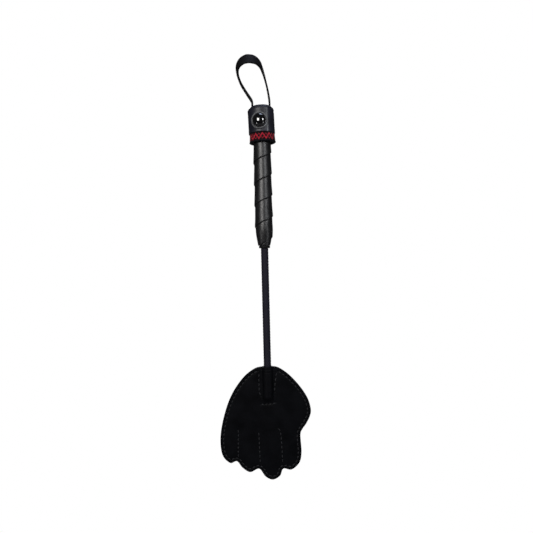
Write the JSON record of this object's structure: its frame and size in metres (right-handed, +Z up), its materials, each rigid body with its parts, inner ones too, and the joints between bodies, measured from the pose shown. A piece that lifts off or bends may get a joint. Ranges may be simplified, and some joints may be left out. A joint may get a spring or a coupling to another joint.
{
  "type": "fly swatter",
  "caption": "Leather hand-shaped swatter on a thin sprung shaft, with a wound leather grip, a studded cap with a red ribbon and a strap loop.",
  "frame": {"origin": "middle of the wound leather grip, on its axis", "axes": "+Z up along the shaft towards the strap loop, +X towards the thumb side of the hand, -Y to the front, where the stud is"},
  "size_m": [0.1109, 0.0477, 0.5085],
  "materials": {
    "grip_leather": "smooth black leather with a soft sheen",
    "cap_leather": "smooth black leather with a cool sheen",
    "hand_leather": "matt near-black leather",
    "strap_leather": "smooth black strap leather",
    "braid": "fine navy-black nylon braid",
    "ribbon": "woven red ribbon with a black zigzag",
    "thread": "dark grey waxed thread",
    "stud_enamel": "glossy black enamel",
    "wood": "plain turned hardwood",
    "fibreglass": "bare glass-fibre rod",
    "rubber": "black rubber",
    "steel": "plain steel"
  },
  "bodies": {
    "handle": {"rod_in_grip": "fibreglass", "handle_core": "wood", "grip_wrap": "grip_leather", "grip_binding": "grip_leather", "pommel_block": "wood", "collar_skirt": "cap_leather", "red_band": "ribbon", "cap_cuff": "cap_leather", "cap_top": "cap_leather", "stud_post": "steel", "stud_washer": "cap_leather", "stud_cap": "stud_enamel", "strap_tail_left": "strap_leather", "strap_tail_right": "strap_leather", "strap_tack_left": "steel", "strap_tack_right": "steel"},
    "shaft": {"shaft_rod": "fibreglass", "shaft_sheath": "braid", "rod_tip_cap": "rubber", "hand_front_upper": "hand_leather", "hand_back_upper": "hand_leather", "edge_seam_left": "thread", "edge_seam_right": "thread", "pocket_seam_left": "thread", "pocket_seam_right": "thread", "pocket_seam_floor": "thread"},
    "hand": {"hand_front_lower": "hand_leather", "hand_back_lower": "hand_leather", "edge_seam_fingers": "thread", "finger_seam_little": "thread", "finger_seam_middle": "thread", "finger_seam_fore": "thread"},
    "loop": {"wrist_strap": "strap_leather"}
  },
  "joints": [
    {"name": "shaft_flex", "type": "hinge", "parent": "handle", "child": "shaft", "pos_m": [0, 0, -0.06903], "axis": [1, 0, 0], "range_deg": [-8, 8], "stiffness_Nm_per_rad": 12},
    {"name": "hand_flex", "type": "hinge", "parent": "shaft", "child": "hand", "pos_m": [0, 0, -0.259], "axis": [1, 0, 0], "range_deg": [-35, 35], "stiffness_Nm_per_rad": 0.4},
    {"name": "strap_fold", "type": "hinge", "parent": "handle", "child": "loop", "pos_m": [-0.00081, 0, 0.11522], "axis": [0.9995, 0, 0.0314], "range_deg": [-70, 25], "stiffness_Nm_per_rad": 0.05}
  ]
}
